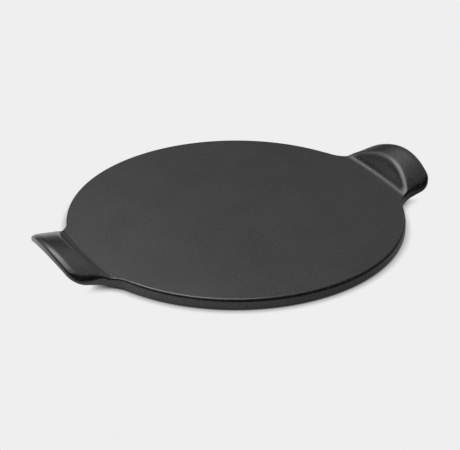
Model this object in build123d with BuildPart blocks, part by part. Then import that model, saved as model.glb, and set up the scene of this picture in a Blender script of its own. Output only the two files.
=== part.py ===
from build123d import *
from math import hypot, radians, sin, tan
import os

# Pizza stone in fired clay with a black glaze: a round cooking plate with two upswept handles
# in one piece with it. Millimetres, +Z up. The origin is under the middle of the plate, on the
# surface that the foot stands on, and +X points along the handles.

# Plate
disc_diameter = 370.0
overall_thickness = 12.5
upper_edge_radius = 3.0
lower_edge_radius = 2.0

# Foot: a bare ring of clay that keeps the glaze off the kiln shelf
foot_height = 1.0
foot_diameter = 320.0
foot_width = 6.0
foot_edge_radius = 0.4

# Glaze
glaze_thickness = 0.5

# Handles, in plan
handle_width = 112.0
handle_reach = 42.8
corner_radius = 18.0
neck_radius = 20.0

# Handles, from above: a steep inner wall that folds up from the plate, a crest, an arched top
# that climbs on to the lip, and a short roll down at the lip
fold_gap = 1.3
fold_bow = 2.5
wall_angle = 53.0
crest_rise = 17.8
crest_side_rise = 4.0
lip_rise = 24.0
lip_side_rise = 8.0
roll_width = 8.0
roll_drop = 1.5
fold_radius = 10.0
fold_side_radius = 4.0
crest_radius = 8.0
crest_side_radius = 3.0
roll_radius = 12.0

# Handles, from below: the hollow that the fingers go under
toe_inset = 3.0
toe_run = 8.0
knee_reach = 20.0
crest_thickness = 10.0
lip_thickness = 7.4

# Stations of the lofts across a handle, and what the blocks stand out past it
station_shares = (-1.0, -0.75, -0.5, -0.25, 0.0, 0.25, 0.5, 0.75, 1.0)
side_overrun = 3.0
overrun = 5.0
# Shares of the inner wall's length that the rounding at its foot and at its crest may use up
fold_share = 0.55
crest_share = 0.4
# A face stands upright, or looks up or down, by the Z of its normal
level_limit = 0.05

disc_radius = disc_diameter / 2
lip_radius = disc_radius + handle_reach
half_width = handle_width / 2
foot_outer_radius = (foot_diameter + foot_width) / 2
foot_inner_radius = (foot_diameter - foot_width) / 2
wall_slope = tan(radians(wall_angle))


def arched(middle, side, y):
    """Height on a handle's arch at a distance y from its middle."""
    return middle - (middle - side) * (y / half_width) ** 2


def drawn_in(points, inset):
    """A path of (x, z) points moved to its right by the inset, with mitred corners."""
    normals = []
    for (x0, z0), (x1, z1) in zip(points, points[1:]):
        length = hypot(x1 - x0, z1 - z0)
        normals.append(((z1 - z0) / length, (x0 - x1) / length))
    moved = []
    for (x, z), (ax, az), (bx, bz) in zip(points, normals[:1] + normals, normals + normals[-1:]):
        scale = inset / (1 + ax * bx + az * bz)
        moved.append((x + (ax + bx) * scale, z + (az + bz) * scale))
    return moved


def plan_sketch(inset):
    """Outline of the plate and its handles, seen from above."""
    with BuildSketch() as strip:
        Circle(lip_radius - inset)
        Rectangle(2 * lip_radius, handle_width - 2 * inset, mode=Mode.INTERSECT)
        fillet(strip.vertices(), corner_radius - inset)
    with BuildSketch() as plan:
        Circle(disc_radius - inset)
        add(strip.sketch)
        necks = [v for v in plan.vertices() if hypot(v.X, v.Y) < disc_radius + overrun]
        fillet(necks, neck_radius + inset)
    return plan.sketch


def handle_block(inset):
    """Clay below the +X handle's top and the plate beside it, wider and longer than the handle."""
    root_x = disc_radius - neck_radius
    far_x = lip_radius + overrun
    with BuildPart() as block:
        for share in station_shares:
            y = share * (half_width + side_overrun)
            crest = arched(crest_rise, crest_side_rise, y)
            lip = arched(lip_rise, lip_side_rise, y)
            lip_x = (lip_radius**2 - y**2) ** 0.5
            fold_x = disc_radius + fold_gap - fold_bow * (y / half_width) ** 2
            crest_x = fold_x + crest / wall_slope
            top_slope = (lip - crest) / (lip_x - crest_x)
            roll_x = lip_x - roll_width
            roll_slope = top_slope - 2 * roll_drop / roll_width
            roll = crest + top_slope * (roll_x - crest_x)
            heights = [
                (root_x, 0),
                (fold_x, 0),
                (crest_x, crest),
                (roll_x, roll),
                (far_x, roll + roll_slope * (far_x - roll_x)),
            ]
            path = [(x, overall_thickness + z) for x, z in heights]
            wall_length = crest / sin(radians(wall_angle))
            turn = tan(radians(wall_angle / 2))
            radii = (
                min(arched(fold_radius, fold_side_radius, y), fold_share * wall_length / turn) + inset,
                min(arched(crest_radius, crest_side_radius, y), crest_share * wall_length / turn) - inset,
                roll_radius - inset,
            )
            with BuildSketch(Plane.XZ.offset(-y)):
                with BuildLine():
                    top = FilletPolyline(*drawn_in(path, inset), radius=radii)
                    Polyline(top @ 1, (far_x, foot_height + inset), (root_x, foot_height + inset), top @ 0)
                make_face()
        loft()
    return block.part


def finger_space(inset):
    """Air under the +X handle, from the toe where the plate's underside turns up to past the lip."""
    toe_x = disc_radius - toe_inset
    knee_x = disc_radius + knee_reach
    far_x = lip_radius + overrun
    with BuildPart() as space:
        for share in station_shares:
            y = share * (half_width + side_overrun)
            knee = overall_thickness + arched(crest_rise, crest_side_rise, y) - crest_thickness
            lip = overall_thickness + arched(lip_rise, lip_side_rise, y) - lip_thickness
            path = [(toe_x, foot_height), (toe_x + toe_run, foot_height), (knee_x, knee), (far_x, lip)]
            with BuildSketch(Plane.XZ.offset(-y)):
                with BuildLine():
                    under = Bezier(*drawn_in(path, -inset))
                    Polyline(under @ 1, (far_x, -overrun), (toe_x, -overrun), under @ 0)
                make_face()
        loft()
    return space.part


def stone_form(inset):
    """The plate with its two handles, drawn in by the inset on every side."""
    base = foot_height + inset
    handle_top = handle_block(inset)
    space = finger_space(inset)
    with BuildPart() as handle:
        with BuildSketch(Plane.XY.offset(base)):
            add(plan_sketch(inset))
        extrude(amount=overall_thickness + lip_rise)
        add(handle_top, mode=Mode.INTERSECT)
    with BuildPart() as form:
        with BuildSketch(Plane.XY.offset(base)):
            add(plan_sketch(inset))
        extrude(amount=overall_thickness - inset - base)
        for turn in (0, 180):
            add(handle.part, rotation=(0, 0, turn))
            add(space, rotation=(0, 0, turn), mode=Mode.SUBTRACT)
        sides = form.faces().filter_by(lambda f: abs(f.normal_at().Z) < level_limit)
        tops = form.faces().filter_by(lambda f: f.normal_at().Z > level_limit)
        fillet(tops.edges() & sides.edges(), upper_edge_radius - inset)
        sides = form.faces().filter_by(lambda f: abs(f.normal_at().Z) < level_limit)
        undersides = form.faces().filter_by(lambda f: f.normal_at().Z < -level_limit)
        fillet(undersides.edges() & sides.edges(), lower_edge_radius - inset)
    return form.part


os.makedirs("parts", exist_ok=True)

# Fired clay: plate, handles and foot in one piece
with BuildPart() as clay_body:
    add(stone_form(glaze_thickness))
    with BuildSketch():
        Circle(foot_outer_radius)
        Circle(foot_inner_radius, mode=Mode.SUBTRACT)
    extrude(amount=foot_height + glaze_thickness)
    standing = clay_body.faces().sort_by(Axis.Z).first
    fillet(standing.edges(), foot_edge_radius)
clay_body.part.label = "clay_body"
export_step(clay_body.part, "parts/clay_body.step")

# Glaze: a coat over all of the clay except the foot and the ground that it encloses
with BuildPart() as glaze_coat:
    add(stone_form(0))
    add(clay_body.part, mode=Mode.SUBTRACT)
    with BuildSketch():
        Circle(foot_inner_radius)
    extrude(amount=foot_height + glaze_thickness, mode=Mode.SUBTRACT)
glaze_coat.part.label = "glaze_coat"
export_step(glaze_coat.part, "parts/glaze_coat.step")
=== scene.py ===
import math

import bmesh
import bpy
import numpy as np
from mathutils import Matrix, Vector


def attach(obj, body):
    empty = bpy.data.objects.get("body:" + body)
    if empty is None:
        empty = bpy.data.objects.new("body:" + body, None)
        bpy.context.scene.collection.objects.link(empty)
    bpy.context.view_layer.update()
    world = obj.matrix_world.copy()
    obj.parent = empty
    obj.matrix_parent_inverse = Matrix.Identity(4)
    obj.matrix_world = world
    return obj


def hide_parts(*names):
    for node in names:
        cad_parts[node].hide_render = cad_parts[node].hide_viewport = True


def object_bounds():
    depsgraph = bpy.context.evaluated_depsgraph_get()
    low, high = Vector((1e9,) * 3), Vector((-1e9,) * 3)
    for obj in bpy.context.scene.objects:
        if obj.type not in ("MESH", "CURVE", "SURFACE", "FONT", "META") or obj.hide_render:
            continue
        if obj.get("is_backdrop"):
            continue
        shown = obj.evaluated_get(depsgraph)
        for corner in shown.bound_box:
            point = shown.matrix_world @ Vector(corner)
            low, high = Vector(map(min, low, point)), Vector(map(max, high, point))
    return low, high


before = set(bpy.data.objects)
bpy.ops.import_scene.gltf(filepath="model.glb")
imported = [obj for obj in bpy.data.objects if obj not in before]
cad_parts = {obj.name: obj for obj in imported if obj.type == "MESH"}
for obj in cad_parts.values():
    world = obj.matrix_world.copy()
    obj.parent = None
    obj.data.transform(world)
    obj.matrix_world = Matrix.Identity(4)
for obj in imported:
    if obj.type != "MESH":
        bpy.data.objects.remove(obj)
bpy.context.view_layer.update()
scene = bpy.context.scene
MM = 0.001

# Sizes of the stone in millimetres. The origin is under the middle of the plate, +X is along the handles.
STONE = dict(
    # The plate, and the handles in plan
    disc_radius=185.0, thickness=12.5, base=1.0,
    handle_half_width=56.0, lip_radius=227.75, corner_radius=17.5, neck_radius=28.0,
    # The handles from above: fold, inner wall in degrees, crest and lip, as rises over the plate
    fold_x=186.2, fold_bow=2.4, wall_angle=53.2, fold_blend=5.4, crest_blend=5.5,
    crest_x=198.5, crest_rise=17.8, crest_sag=13.9, lip_rise=23.2, lip_sag=15.0,
    lip_roll_width=8.0, lip_roll_drop=2.2,
    # The handles from below: the turn up out of the plate's underside in degrees, and the clay left
    toe_radius=184.5, toe_angle=39.1, cone_slope=0.26, cone_blend=0.8, under_blend=8.0,
    crest_thickness=9.5, crest_side_thickness=9.6, lip_thickness=9.6, lip_side_thickness=6.0,
    # Roundings of the edges, and the depth from the outline at which the faces' fields begin
    rim_edge=3.5, neck_edge=2.4, side_edge=8.5, lip_edge=2.2, lower_edge=1.6, field=12.0,
    # The foot ring, and the glaze's thickness
    foot_outer=163.0, foot_inner=157.0, foot_edge=0.4, glaze=0.5,
)

# Points along a quarter of the outline: lip, corner, side, neck and rim of the plate
LIP, CORNER, SIDE, NECK, RIM = 40, 26, 22, 40, 70
HANDLE = LIP + CORNER + SIDE + NECK
# Rings over the upper edge's rounding, and from there in to the field
EDGE_RINGS, INNER_RINGS = 15, 11
# Radii of further rings: on the plate's top, under it outside the foot, and on the ground in the foot
TOP_RINGS = (150, 110, 70, 30)
MARGIN_RING = 168
GROUND_RINGS = (120, 60, 20)
# Points on each of the foot's two roundings
FOOT_POINTS = 6
# Distance from a crease to the ring that keeps the smooth shading beside it flat
CREASE = 0.2
# Points of two grids that are closer than this are one
WELD = 0.002

# Ranges over which the plate's edge goes over into a handle's, in millimetres: along the handle
# from the plate's radius, and across it from the handle's side
WING_FROM, WING_TO, SIDE_RUN = -8, 12, 18
WING_PAST, WING_FADE = 8, 6
NECK_PAST, NECK_FADE = 34, 24
# The same along the plate's rim, as shares of its radius
RIM_FROM, RIM_TO = 0.8, 0.92
# Squared X of the outline's normal where a handle's side goes over into its lip
TURN_FROM, TURN_TO = 0.15, 0.95
# Depth that the slope beside an edge is measured over, the slope's limits, and the least upright
# part of an edge between its two roundings
LEAN_STEP, LEAN_LOW, LEAN_HIGH = 0.5, -0.6, 1.2
LEAST_SIDE = 0.3


def soft_max(a, b, k):
    h = np.maximum(k - np.abs(a - b), 0) / k
    return np.maximum(a, b) + h * h * k / 4


def soft_min(a, b, k):
    return -soft_max(-a, -b, k)


def ease(x, a, b):
    t = np.clip((x - a) / (b - a), 0, 1)
    return t * t * (3 - 2 * t)


def outline(s):
    """Plan outline with outward normals, anticlockwise from the middle of the +X lip."""
    R, w, Ro = s["disc_radius"], s["handle_half_width"], s["lip_radius"]
    rc, rn = s["corner_radius"], s["neck_radius"]
    xn = math.sqrt((R + rn) ** 2 - (w + rn) ** 2)
    xc = math.sqrt((Ro - rc) ** 2 - (w - rc) ** 2)
    corner, neck = math.atan2(w - rc, xc), math.atan2(w + rn, xn)

    def arc(a, b, n):
        t = np.linspace(a, b, n, endpoint=False)
        return np.stack([np.cos(t), np.sin(t)], 1)

    lip = arc(0, corner, LIP)
    bend = arc(corner, math.pi / 2, CORNER)
    x = np.linspace(xc, xn, SIDE, endpoint=False)
    arm = arc(-math.pi / 2, neck - math.pi, NECK)
    rim = arc(neck, math.pi / 2, RIM)
    side = np.stack([x, 0 * x + w], 1)
    P = np.concatenate([Ro * lip, [xc, w - rc] + rc * bend, side, [xn, w + rn] + rn * arm, R * rim])
    N = np.concatenate([lip, bend, np.stack([0 * x, 0 * x + 1], 1), -arm, rim])
    flip = np.array([-1, 1])
    P = np.concatenate([P, [[0, R]], P[1:][::-1] * flip, [[-Ro, 0]]])
    N = np.concatenate([N, [[0, 1]], N[1:][::-1] * flip, [[-1, 0]]])
    P = np.concatenate([P, P[1:-1][::-1] * -flip])
    N = np.concatenate([N, N[1:-1][::-1] * -flip])
    return P, N, neck


def vault(x, y, s):
    """Height of a handle's arched top over the plate."""
    t = (x - s["crest_x"]) / (s["lip_radius"] - s["crest_x"])
    rise = s["crest_rise"] + (s["lip_rise"] - s["crest_rise"]) * t
    sag = s["crest_sag"] + (s["lip_sag"] - s["crest_sag"]) * t
    return rise - sag * (y / s["handle_half_width"]) ** 2


def top(x, y, s):
    """Height of the top: the plate's face, a handle's inner wall and its vault, blended."""
    x = np.abs(x)
    fold = s["fold_x"] - s["fold_bow"] * (y / s["handle_half_width"]) ** 2
    wall = (x - fold) * math.tan(math.radians(s["wall_angle"]))
    rise = soft_min(vault(x, y, s), wall, s["crest_blend"])
    return s["thickness"] + soft_max(0 * rise, rise, s["fold_blend"])


def under(x, y, s):
    """Height of the underside: a cone that rises from the plate's circle, arched up in a handle's middle."""
    radius, x = np.hypot(x, y), np.abs(x)
    t = (x - s["crest_x"]) / (s["lip_radius"] - s["crest_x"])
    middle = s["crest_thickness"] + (s["lip_thickness"] - s["crest_thickness"]) * t
    side = s["crest_side_thickness"] + (s["lip_side_thickness"] - s["crest_side_thickness"]) * t
    clay_left = middle - (middle - side) * (y / s["handle_half_width"]) ** 2
    roof = s["thickness"] + vault(x, y, s) - clay_left
    ramp = s["base"] + (radius - s["toe_radius"]) * math.tan(math.radians(s["toe_angle"]))
    arch = soft_min(roof, ramp, s["under_blend"])
    cone = soft_max(0 * radius, (radius - s["toe_radius"]) * s["cone_slope"], s["cone_blend"])
    return soft_max(s["base"] + cone, arch, s["under_blend"] / 4)


def rim_rings(s):
    """Rings from the field under the stone, out round its edge and back in to the field on top."""
    P, N, neck = outline(s)
    ax, ay = np.abs(P[:, 0]), np.abs(P[:, 1])
    R, w, field, low = s["disc_radius"], s["handle_half_width"], s["field"], s["lower_edge"]
    wing = ease(ax, R + WING_FROM, R + WING_TO) * ease(w + WING_PAST - ay, 0, WING_FADE)
    near_neck = ease(w + NECK_PAST - ay, 0, NECK_FADE) * ease(ax, RIM_FROM * R, RIM_TO * R)
    lipness = wing * ease(N[:, 0] ** 2, TURN_FROM, TURN_TO)
    side = s["neck_edge"] + (s["side_edge"] - s["neck_edge"]) * ease(ax, R, R + SIDE_RUN)
    r = s["rim_edge"] + (side - s["rim_edge"]) * near_neck
    r = r + (s["lip_edge"] - r) * lipness

    def rolled(depth):
        Q = P - N * depth[:, None]
        share = np.clip(1 - depth / s["lip_roll_width"], 0, 1)
        return top(Q[:, 0], Q[:, 1], s) - lipness * s["lip_roll_drop"] * share**2

    # Slope outward and down just inside the edge, which the rounding starts from
    lean = (rolled(r + LEAN_STEP / 2) - rolled(r - LEAN_STEP / 2)) / LEAN_STEP
    lean = np.clip(lean, LEAN_LOW, LEAN_HIGH)
    tilt = np.arctan(lean)
    start = r * (1 - np.sin(tilt))
    thick = rolled(0 * r) - under(P[:, 0], P[:, 1], s)
    squeeze = np.minimum(1, thick / (start / np.cos(tilt) + low + LEAST_SIDE))
    turns = 1 - np.cos(np.linspace(0, math.pi / 2, EDGE_RINGS))
    depths = [start * t for t in turns]
    depths += [start + (field - start) * k / INNER_RINGS for k in range(1, INNER_RINGS + 1)]
    upper, lower = [], []
    for d in depths:
        Q = P - N * d[:, None]
        line = r * np.cos(tilt) + lean * (d - start)
        arc = np.sqrt(np.maximum(r**2 - (r - d) ** 2, 0))
        drop = np.where(d < start, squeeze * (line - arc), 0)
        lift = squeeze * low * (1 - np.sqrt(1 - np.maximum(1 - d / low, 0) ** 2))
        upper.append(np.column_stack([Q, rolled(d) - drop]))
        lower.append(np.column_stack([Q, under(Q[:, 0], Q[:, 1], s) + lift]))
    return np.array(lower[::-1] + upper), P - N * field, neck


def handle_field(s, edge, neck, height):
    """Grid over the +X handle, inside its rim, laid out between the rim's points and an arc on the plate."""
    last = LIP + CORNER // 2
    across = np.linspace(-neck, neck, 2 * last + 1)
    inner = (s["disc_radius"] - s["field"]) * np.stack([np.cos(across), np.sin(across)], 1)
    outer = edge[np.arange(-last, last + 1)]
    upper = edge[np.arange(HANDLE, last - 1, -1)]
    lower = upper * [1, -1]
    u = np.linspace(0, 1, len(inner))[None, :, None]
    v = np.linspace(0, 1, len(upper))[:, None, None]
    flat = (1 - v) * inner[None] + v * outer[None] + (1 - u) * lower[:, None] + u * upper[:, None]
    flat -= (1 - u) * ((1 - v) * inner[0] + v * outer[0]) + u * ((1 - v) * inner[-1] + v * outer[-1])
    return np.dstack([flat, height(flat[:, :, 0], flat[:, :, 1], s)])


def grid_faces(rows, columns, offset, closed):
    here = np.arange(columns if closed else columns - 1)
    there = (here + 1) % columns
    step = np.arange(rows - 1)[:, None] * columns + offset
    quads = np.stack([step + here, step + there, step + columns + there, step + columns + here], 2)
    return quads.reshape(-1, 4).tolist()


def skin(name, grids, cap):
    """Smooth mesh over (points, closed) grids that meet edge to edge, with a fan inside the cap's ring."""
    verts, faces = [], []
    for points, closed in grids:
        rows, columns = points.shape[:2]
        faces += grid_faces(rows, columns, len(verts), closed)
        verts += points.reshape(-1, 3).tolist()
    first, n = len(verts), len(cap)
    verts += cap.tolist() + [[0, 0, cap[0][2]]]
    faces += [[first + k, first + (k + 1) % n, first + n] for k in range(n)]
    mesh = bpy.data.meshes.new(name)
    mesh.from_pydata((np.array(verts) * MM).tolist(), [], faces)
    work = bmesh.new()
    work.from_mesh(mesh)
    bmesh.ops.remove_doubles(work, verts=work.verts, dist=WELD * MM)
    bmesh.ops.recalc_face_normals(work, faces=work.faces)
    work.to_mesh(mesh)
    work.free()
    mesh.polygons.foreach_set("use_smooth", [True] * len(mesh.polygons))
    mesh.update()
    piece = bpy.data.objects.new(name, mesh)
    scene.collection.objects.link(piece)
    return piece


s = STONE
rim, edge, neck = rim_rings(s)
field_top = handle_field(s, edge, neck, top)
field_under = handle_field(s, edge, neck, under)
half_turn = np.array([-1, -1, 1])
handle_arc = np.arctan2(field_top[0, :, 1], field_top[0, :, 0])
between_handles = edge[HANDLE + 1 : len(edge) // 2 - HANDLE]
plate_arc = np.arctan2(between_handles[:, 1], between_handles[:, 0])
angles = np.concatenate([handle_arc, plate_arc, handle_arc + math.pi, plate_arc + math.pi])
circle = np.stack([np.cos(angles), np.sin(angles)], 1)


def ring(radius, z):
    return np.column_stack([circle * radius, 0 * angles + z])


# Glaze: all of the outside but the foot ring and the ground in it, up to which it is tucked
field_radius, base, ground = s["disc_radius"] - s["field"], s["base"], s["base"] + s["glaze"]
e, ro, ri = s["foot_edge"], s["foot_outer"], s["foot_inner"]
plate = np.array([ring(radius, s["thickness"]) for radius in (field_radius, *TOP_RINGS)])
margin = np.array([ring(radius, base) for radius in (field_radius, MARGIN_RING, ro + CREASE, ro)])
tuck = np.array([ring(ro, base), ring(ro, ground)])
shell = [(rim, True), (field_top, False), (field_top * half_turn, False), (field_under, False)]
shell += [(field_under * half_turn, False), (plate, True), (margin, True), (tuck, True)]
glaze = skin("glaze", shell, plate[-1])

# Clay: the foot ring with its rounded edges, and the ground in it
bends = np.linspace(0, math.pi / 2, FOOT_POINTS)
profile = [(ro, ground), (ro, ground - CREASE), (ro, e)]
profile += [(ro - e * (1 - math.cos(a)), e * (1 - math.sin(a))) for a in bends[1:]]
profile += [(ri + e * (1 - math.sin(a)), e * (1 - math.cos(a))) for a in bends]
profile += [(ri, ground - CREASE), (ri, ground), (ri - CREASE, ground)]
profile += [(radius, ground) for radius in GROUND_RINGS]
foot = np.array([ring(radius, z) for radius, z in profile])
clay = skin("clay", [(foot, True)], foot[-1])


# Materials
def material(name):
    made = bpy.data.materials.new(name)
    made.use_nodes = True
    nodes = made.node_tree.nodes
    nodes.clear()
    out = nodes.new("ShaderNodeOutputMaterial")
    shader = nodes.new("ShaderNodeBsdfPrincipled")
    made.node_tree.links.new(shader.outputs[0], out.inputs[0])
    return made, shader


def node(made, kind, **values):
    n = made.node_tree.nodes.new(kind)
    for key, value in values.items():
        if hasattr(n, key):
            setattr(n, key, value)
        else:
            n.inputs[key.replace("_", " ")].default_value = value
    return n


def link(made, a, b):
    made.node_tree.links.new(a, b)


def noise(made, scale, detail):
    """Noise in the object's own coordinates; the scale is in waves per metre."""
    place = node(made, "ShaderNodeTexCoord")
    n = node(made, "ShaderNodeTexNoise", Scale=scale, Detail=detail)
    link(made, place.outputs["Object"], n.inputs["Vector"])
    return n.outputs[0]


def ranged(made, value, low, high, **values):
    n = node(made, "ShaderNodeMapRange", From_Min=low, From_Max=high, **values)
    link(made, value, n.inputs[0])
    return n.outputs[0]


def tinted(made, share, dark, light):
    n = node(made, "ShaderNodeMix", data_type="RGBA")
    n.inputs[6].default_value = (*dark, 1)
    n.inputs[7].default_value = (*light, 1)
    link(made, share, n.inputs[0])
    return n.outputs[2]


def dimple(made, shader, height, strength, distance):
    bump = node(made, "ShaderNodeBump", Strength=strength, Distance=distance)
    link(made, height, bump.inputs["Height"])
    link(made, bump.outputs[0], shader.inputs["Normal"])


# Satin black glaze: a fine grain of specks and dimples, and a slow change in gloss
GLAZE_DARK, GLAZE_LIGHT = (0.002, 0.002, 0.0022), (0.044, 0.044, 0.044)
GLAZE_ROUGH_LOW, GLAZE_ROUGH_HIGH = 0.27, 0.33
black, shader = material("glaze_black")
grain = noise(black, 650.0, 2.0)
cloud = noise(black, 22.0, 3.0)
specks = ranged(black, grain, 0.35, 0.65)
link(black, tinted(black, specks, GLAZE_DARK, GLAZE_LIGHT), shader.inputs["Base Color"])
rough = ranged(black, cloud, 0.3, 0.7, To_Min=GLAZE_ROUGH_LOW, To_Max=GLAZE_ROUGH_HIGH)
link(black, rough, shader.inputs["Roughness"])
dimple(black, shader, grain, 0.15, 0.0002)
shader.inputs["IOR"].default_value = 1.5

# Bare fired clay: matt, with sandy grain over soft blotches
CLAY_DARK, CLAY_LIGHT = (0.46, 0.39, 0.31), (0.62, 0.55, 0.47)
GRAIN_SHARE = 0.45
bare, shader = material("bare_clay")
grain = noise(bare, 500.0, 6.0)
cloud = noise(bare, 30.0, 4.0)
blend = node(bare, "ShaderNodeMath", operation="MULTIPLY_ADD")
link(bare, ranged(bare, grain, 0.3, 0.7), blend.inputs[0])
blend.inputs[1].default_value = GRAIN_SHARE
link(bare, ranged(bare, cloud, 0.3, 0.7, To_Min=0.25, To_Max=0.75), blend.inputs[2])
link(bare, tinted(bare, blend.outputs[0], CLAY_DARK, CLAY_LIGHT), shader.inputs["Base Color"])
dimple(bare, shader, grain, 0.4, 0.0003)
shader.inputs["Roughness"].default_value = 0.85

glaze.data.materials.append(black)
clay.data.materials.append(bare)
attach(glaze, "root")
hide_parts("glaze_coat")
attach(clay, "root")
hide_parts("clay_body")


# The camera stands turned from the -Y side by this angle, and the room's light is laid out round it
AXIS = math.radians(29.6)
turn = Matrix.Rotation(-AXIS, 3, "Z")


def toward(azimuth, elevation):
    """Direction to a place in the room: azimuth from straight behind the stone to the right, in degrees."""
    a, e = math.radians(azimuth), math.radians(elevation)
    return turn @ Vector((math.sin(a) * math.cos(e), math.cos(a) * math.cos(e), math.sin(e)))


# Floor: plain and pale, with the soft shadow that gathers under and beside the stone
PALE, SHADE = (0.863, 0.863, 0.863), (0.004, 0.004, 0.004)
FLOOR_HALF = 12.0
SHADE_REACH = 0.0105
# Open share of the sky over a place on the floor at which it is in full shade, and in none
SHADE_FROM, SHADE_TO = 0.12, 0.92
h = FLOOR_HALF
floor_mesh = bpy.data.meshes.new("floor")
floor_mesh.from_pydata([(-h, -h, 0), (h, -h, 0), (h, h, 0), (-h, h, 0)], [], [(0, 1, 2, 3)])
floor = bpy.data.objects.new("floor", floor_mesh)
scene.collection.objects.link(floor)
floor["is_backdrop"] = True
pale = bpy.data.materials.new("pale_floor")
pale.use_nodes = True
pale.node_tree.nodes.clear()
out = node(pale, "ShaderNodeOutputMaterial")
glow = node(pale, "ShaderNodeEmission")
occlusion = node(pale, "ShaderNodeAmbientOcclusion", samples=16, Distance=SHADE_REACH)
open_share = ranged(pale, occlusion.outputs["AO"], SHADE_FROM, SHADE_TO)
link(pale, tinted(pale, open_share, SHADE, PALE), glow.inputs[0])
# The room is lit in front and on the left, so reflections find a darker floor behind the stone:
# full light and little light, and how far the places with them are from the stone's middle
POOL_LIGHT, POOL_DARK = 1.25, 0.42
POOL_FROM, POOL_TO = -0.22, 0.13
spot = node(pale, "ShaderNodeTexCoord")
depth = node(pale, "ShaderNodeVectorMath", operation="DOT_PRODUCT")
link(pale, spot.outputs["Object"], depth.inputs[0])
depth.inputs[1].default_value = toward(60, 0)
levels = dict(interpolation_type="SMOOTHSTEP", To_Min=POOL_LIGHT, To_Max=POOL_DARK)
pool = ranged(pale, depth.outputs["Value"], POOL_FROM, POOL_TO, **levels)
matt = node(pale, "ShaderNodeBsdfDiffuse")
matt.inputs[0].default_value = (*PALE, 1)
path = node(pale, "ShaderNodeLightPath")
seen = node(pale, "ShaderNodeMath", operation="MAXIMUM")
link(pale, path.outputs["Is Camera Ray"], seen.inputs[0])
link(pale, path.outputs["Is Glossy Ray"], seen.inputs[1])
level = node(pale, "ShaderNodeMix")
link(pale, path.outputs["Is Camera Ray"], level.inputs[0])
link(pale, pool, level.inputs[2])
level.inputs[3].default_value = 1.0
link(pale, level.outputs[0], glow.inputs["Strength"])
mix = node(pale, "ShaderNodeMixShader")
link(pale, seen.outputs[0], mix.inputs[0])
link(pale, matt.outputs[0], mix.inputs[1])
link(pale, glow.outputs[0], mix.inputs[2])
link(pale, mix.outputs[0], out.inputs[0])
floor_mesh.materials.append(pale)

# World: as pale as the floor for the camera, and for the light a dark room with a pale low wall on
# the left and three soft pale patches behind the stone
world = bpy.data.worlds.new("studio")
scene.world = world
world.use_nodes = True
world.node_tree.nodes.clear()
out = node(world, "ShaderNodeOutputWorld")
sky = node(world, "ShaderNodeTexCoord")


def lobe(axis, low, high):
    """Smooth share of the directions whose cosine to the axis lies between low, none, and high, all."""
    dot = node(world, "ShaderNodeVectorMath", operation="DOT_PRODUCT")
    link(world, sky.outputs["Generated"], dot.inputs[0])
    dot.inputs[1].default_value = axis
    return ranged(world, dot.outputs["Value"], low, high, interpolation_type="SMOOTHSTEP")


def combine(operation, a, b):
    n = node(world, "ShaderNodeMath", operation=operation)
    for socket, value in zip(n.inputs, (a, b)):
        if isinstance(value, float):
            socket.default_value = value
        else:
            link(world, value, socket)
    return n.outputs[0]


ROOM_DARK = 0.02
WALL_LIGHT = 1.25
DOWN = Vector((0, 0, -1))
# Patches: direction, the cosines to it at which the light ends and is full, and its strength
PATCHES = (
    (toward(30, 46), 0.8, 1.0, 0.5),
    (toward(-27, 43), 0.88, 0.97, 0.92),
    (toward(20, 8), 0.92, 0.985, 0.28),
)
left_wall = combine("MULTIPLY", lobe(toward(-103, 0), 0.3, 0.75), lobe(DOWN, -0.5, -0.15))
strength = combine("MULTIPLY", left_wall, WALL_LIGHT)
for axis, low, high, light in PATCHES:
    strength = combine("ADD", strength, combine("MULTIPLY", lobe(axis, low, high), light))
room = node(world, "ShaderNodeBackground")
room.inputs[0].default_value = (1, 1, 1, 1)
link(world, combine("ADD", strength, ROOM_DARK), room.inputs["Strength"])
behind = node(world, "ShaderNodeBackground", Strength=1.0)
behind.inputs[0].default_value = (*PALE, 1)
path = node(world, "ShaderNodeLightPath")
mix = node(world, "ShaderNodeMixShader")
link(world, path.outputs["Is Camera Ray"], mix.inputs[0])
link(world, room.outputs[0], mix.inputs[1])
link(world, behind.outputs[0], mix.inputs[2])
link(world, mix.outputs[0], out.inputs[0])

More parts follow.
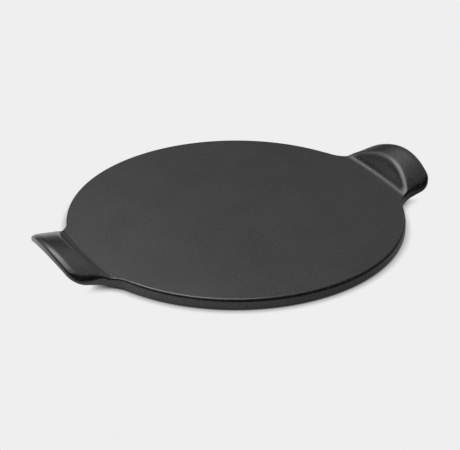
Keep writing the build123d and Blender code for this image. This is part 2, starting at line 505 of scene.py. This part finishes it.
# Camera: fitted to the ellipses of the plate's two edges. Lengths are in the fit's own unit, of
# which the plate's radius is FITTED_RADIUS; angles are in radians, and FOCAL is in pixels.
PHOTO_WIDTH, SENSOR_WIDTH = 460.0, 36.0
FOCAL = 1800.0
ELEVATION, ROLL = 0.497219, -0.0025027
DISTANCE, MOVE_RIGHT, MOVE_UP = 10.75529, 0.0321, 0.0134403
FITTED_RADIUS = 1.009266
CLIP_NEAR, CLIP_FAR = 0.1, 50.0
unit = s["disc_radius"] * MM / FITTED_RADIUS
half_pixel = 0.5 / FOCAL * DISTANCE
right = Vector((1, 0, 0))
up = Vector((0, math.sin(ELEVATION), math.cos(ELEVATION)))
ahead = Vector((0, math.cos(ELEVATION), -math.sin(ELEVATION)))
stand = -MOVE_RIGHT * right - MOVE_UP * up - DISTANCE * ahead
stand = (stand - right * half_pixel + up * half_pixel) * unit
rolled_right = right * math.cos(ROLL) + up * math.sin(ROLL)
rolled_up = up * math.cos(ROLL) - right * math.sin(ROLL)
basis = Matrix((turn @ rolled_right, turn @ rolled_up, turn @ -ahead)).transposed()
camera_data = bpy.data.cameras.new("camera")
camera = bpy.data.objects.new("camera", camera_data)
scene.collection.objects.link(camera)
camera.matrix_world = Matrix.Translation(turn @ stand) @ basis.to_4x4()
camera_data.sensor_fit = "HORIZONTAL"
camera_data.sensor_width = SENSOR_WIDTH
camera_data.lens = FOCAL * SENSOR_WIDTH / PHOTO_WIDTH
camera_data.clip_start = CLIP_NEAR
camera_data.clip_end = CLIP_FAR
scene.camera = camera

# Key softbox: overhead, behind the stone and to its left in the camera's view
SOFTBOX_WIDTH, SOFTBOX_DEPTH, SOFTBOX_DISTANCE = 0.8, 1.0, 1.3
SOFTBOX_WATTS = 9.8
lamp_data = bpy.data.lights.new("softbox", "AREA")
lamp_data.shape = "ELLIPSE"
lamp_data.size = SOFTBOX_WIDTH
lamp_data.size_y = SOFTBOX_DEPTH
lamp_data.energy = SOFTBOX_WATTS
lamp = bpy.data.objects.new("softbox", lamp_data)
aim = toward(-31, 65)
lamp.location = aim * SOFTBOX_DISTANCE
lamp.rotation_mode = "QUATERNION"
lamp.rotation_quaternion = aim.to_track_quat("Z", "Y")
scene.collection.objects.link(lamp)

scene.view_settings.view_transform = "Standard"

low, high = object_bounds()
